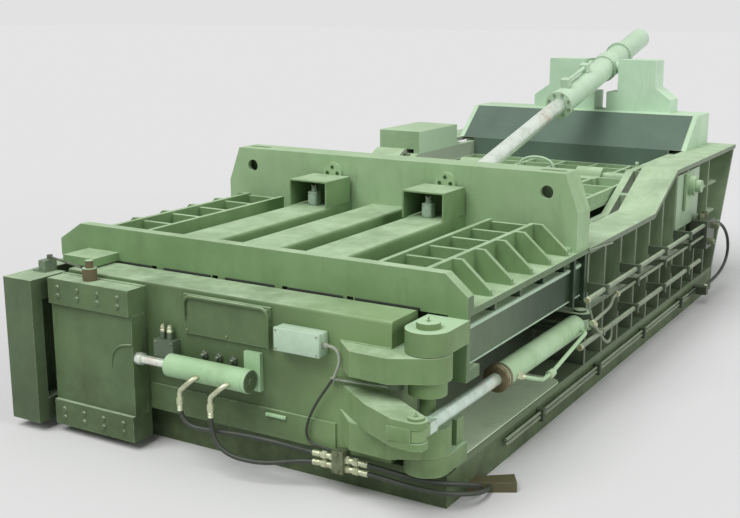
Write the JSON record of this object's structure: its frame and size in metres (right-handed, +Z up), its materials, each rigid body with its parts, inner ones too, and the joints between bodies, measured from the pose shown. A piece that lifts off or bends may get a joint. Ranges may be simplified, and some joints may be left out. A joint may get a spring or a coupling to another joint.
{
  "type": "recycling baler",
  "caption": "Hydraulic scrap baler with a ribbed press chamber, a side-hinged lock gate, a rear-hinged lid pulled by a cylinder, and a long pusher ram.",
  "frame": {"origin": "on the floor, on the centre line, in the plane of the press chamber's front face", "axes": "+X to the right seen from the gate end, +Y along the machine away from the gate, +Z up"},
  "size_m": [2.587, 6.641, 1.9107],
  "materials": {
    "green_paint": "satin",
    "chrome": "polished",
    "rubber": "matte",
    "zinc": "satin",
    "plastic": "satin",
    "steel": "satin"
  },
  "bodies": {
    "frame": {"base_frame": "green_paint", "floor_plate": "green_paint", "roof_plate": "green_paint", "roof_front_plate": "green_paint", "cross_beam": "green_paint", "rear_deck": "green_paint", "rear_wall": "green_paint", "lid_shaft": "green_paint", "hinge_lugs": "green_paint", "hinge_pin": "green_paint", "main_cylinder": "green_paint", "gate_cylinder_bracket": "green_paint", "lock_post": "green_paint", "lock_switch": "plastic", "side_pipes": "green_paint", "pipe_clamps": "green_paint", "wall_left": "green_paint", "wall_right": "green_paint", "side_frame_left": "green_paint", "side_frame_right": "green_paint", "roof_ribs_left": "green_paint", "roof_ribs_right": "green_paint", "trunnion_stand_left": "green_paint", "trunnion_stand_right": "green_paint", "switch_boxes": "green_paint", "limit_switches": "steel", "shaft_plates": "green_paint", "roof_beams": "green_paint", "lid_box": "green_paint", "loop_hose": "rubber", "feed_hose_a": "rubber", "feed_hose_b": "rubber"},
    "gate": {"gate_slab": "green_paint", "gate_arms": "green_paint", "gate_lever": "green_paint", "lock_jaws": "green_paint", "jaw_bolts": "steel", "lock_cylinder": "green_paint", "sensor_block": "steel", "gate_cover": "green_paint", "gate_studs": "steel", "junction_box": "plastic", "cable_gland": "plastic", "bulkhead_block": "zinc", "gate_collar": "steel", "hose_elbows": "zinc", "lock_hose_a": "rubber", "lock_hose_b": "rubber", "junction_cable": "rubber"},
    "lock": {"lock_plate": "green_paint", "lock_rod": "chrome"},
    "switch_arm": {"switch_lever": "steel"},
    "gate_cylinder": {"gate_barrel": "green_paint"},
    "gate_piston": {"gate_rod": "chrome"},
    "lid": {"lid_panel": "green_paint", "lid_clevis": "green_paint"},
    "lid_cylinder": {"lid_barrel": "green_paint"},
    "lid_piston": {"lid_rod": "chrome"},
    "pusher": {"ram": "green_paint"}
  },
  "joints": [
    {"name": "gate_swing", "type": "hinge", "parent": "frame", "child": "gate", "pos_m": [1.06, -0.185, 0.5], "axis": [0, 0, 1], "range_deg": [0, 80], "deforming": ["feed_hose_a", "feed_hose_b"]},
    {"name": "lock_slide", "type": "slide", "parent": "gate", "child": "lock", "axis": [-1, 0, 0], "range_m": [0, 0.12]},
    {"name": "switch_arm_turn", "type": "hinge", "parent": "frame", "child": "switch_arm", "pos_m": [-1.116, -0.213, 0.855], "axis": [0, 0, 1], "range_deg": [-20, 10], "stiffness_Nm_per_rad": 0.6},
    {"name": "gate_cylinder_swing", "type": "hinge", "parent": "frame", "child": "gate_cylinder", "pos_m": [1.145, 1.4, 0.457], "axis": [0, 0, 1], "range_deg": [0, 6.85]},
    {"name": "gate_rod_slide", "type": "slide", "parent": "gate_cylinder", "child": "gate_piston", "axis": [0, 1, 0], "range_m": [0, 0.28744]},
    {"name": "lid_swing", "type": "hinge", "parent": "frame", "child": "lid", "pos_m": [0, 3.4, 0.92], "axis": [-1, 0, 0], "range_deg": [0, 55]},
    {"name": "lid_cylinder_swing", "type": "hinge", "parent": "frame", "child": "lid_cylinder", "pos_m": [0.115, 4.6, 1.629], "axis": [-1, 0, 0], "range_deg": [0, 27.64]},
    {"name": "lid_rod_slide", "type": "slide", "parent": "lid_cylinder", "child": "lid_piston", "axis": [0, 0.9732, 0.2298], "range_m": [0, 0.68451]},
    {"name": "ram_slide", "type": "slide", "parent": "frame", "child": "pusher", "axis": [0, -1, 0], "range_m": [0, 2.3]}
  ],
  "couplings": [
    {"joint": "gate_cylinder_swing", "follows": "gate_swing", "ratio": 0.085643},
    {"joint": "gate_rod_slide", "follows": "gate_swing", "m_per_rad": 0.20586},
    {"joint": "lid_cylinder_swing", "follows": "lid_swing", "ratio": 0.50254},
    {"joint": "lid_rod_slide", "follows": "lid_swing", "m_per_rad": 0.71308}
  ]
}
